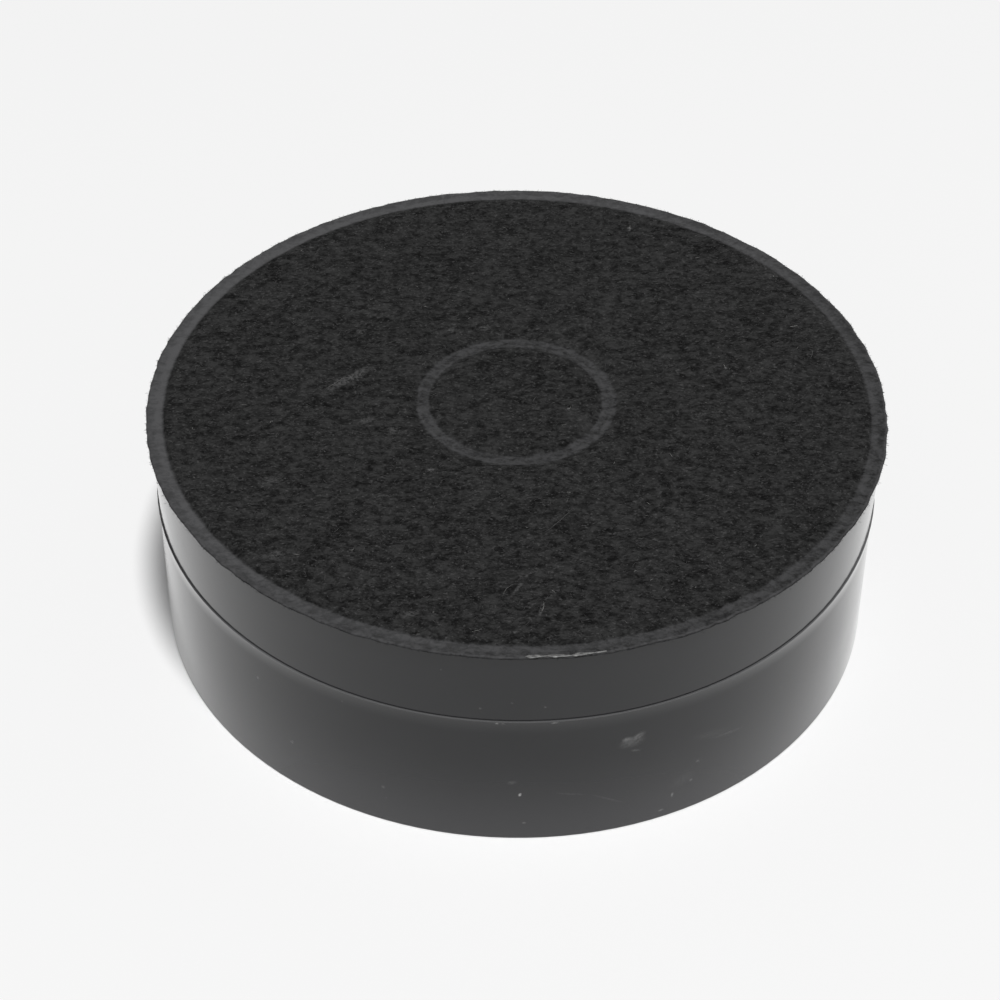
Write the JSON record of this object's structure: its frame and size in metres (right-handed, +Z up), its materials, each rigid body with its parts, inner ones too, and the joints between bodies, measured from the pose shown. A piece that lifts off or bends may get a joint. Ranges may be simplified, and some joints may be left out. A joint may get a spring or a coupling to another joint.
{
  "type": "cooker hood carbon filter",
  "caption": "Round charcoal cartridge for a cooker hood: moulded tub with a radial grille and bayonet hub, divider frame, granule fills and a welded felt top.",
  "frame": {"origin": "centre of the base rim, in the plane that the filter stands on", "axes": "+Z up along the filter's axis, from the grille side to the felt side; +X and +Y across it"},
  "size_m": [0.1524, 0.1524, 0.0512],
  "materials": {
    "moulded_polypropylene": "satin black injection moulding",
    "needled_felt": "near-black needled polyester felt with light stray fibres",
    "charcoal_granules": "loose broken charcoal granules"
  },
  "bodies": {
    "root": {"tub": "moulded_polypropylene", "divider_frame": "moulded_polypropylene", "base_felt": "needled_felt", "top_felt": "needled_felt", "carbon_fill_1": "charcoal_granules", "carbon_fill_2": "charcoal_granules", "carbon_fill_3": "charcoal_granules", "carbon_fill_4": "charcoal_granules", "carbon_fill_5": "charcoal_granules", "carbon_fill_6": "charcoal_granules", "carbon_fill_7": "charcoal_granules", "carbon_fill_8": "charcoal_granules"}
  },
  "joints": []
}
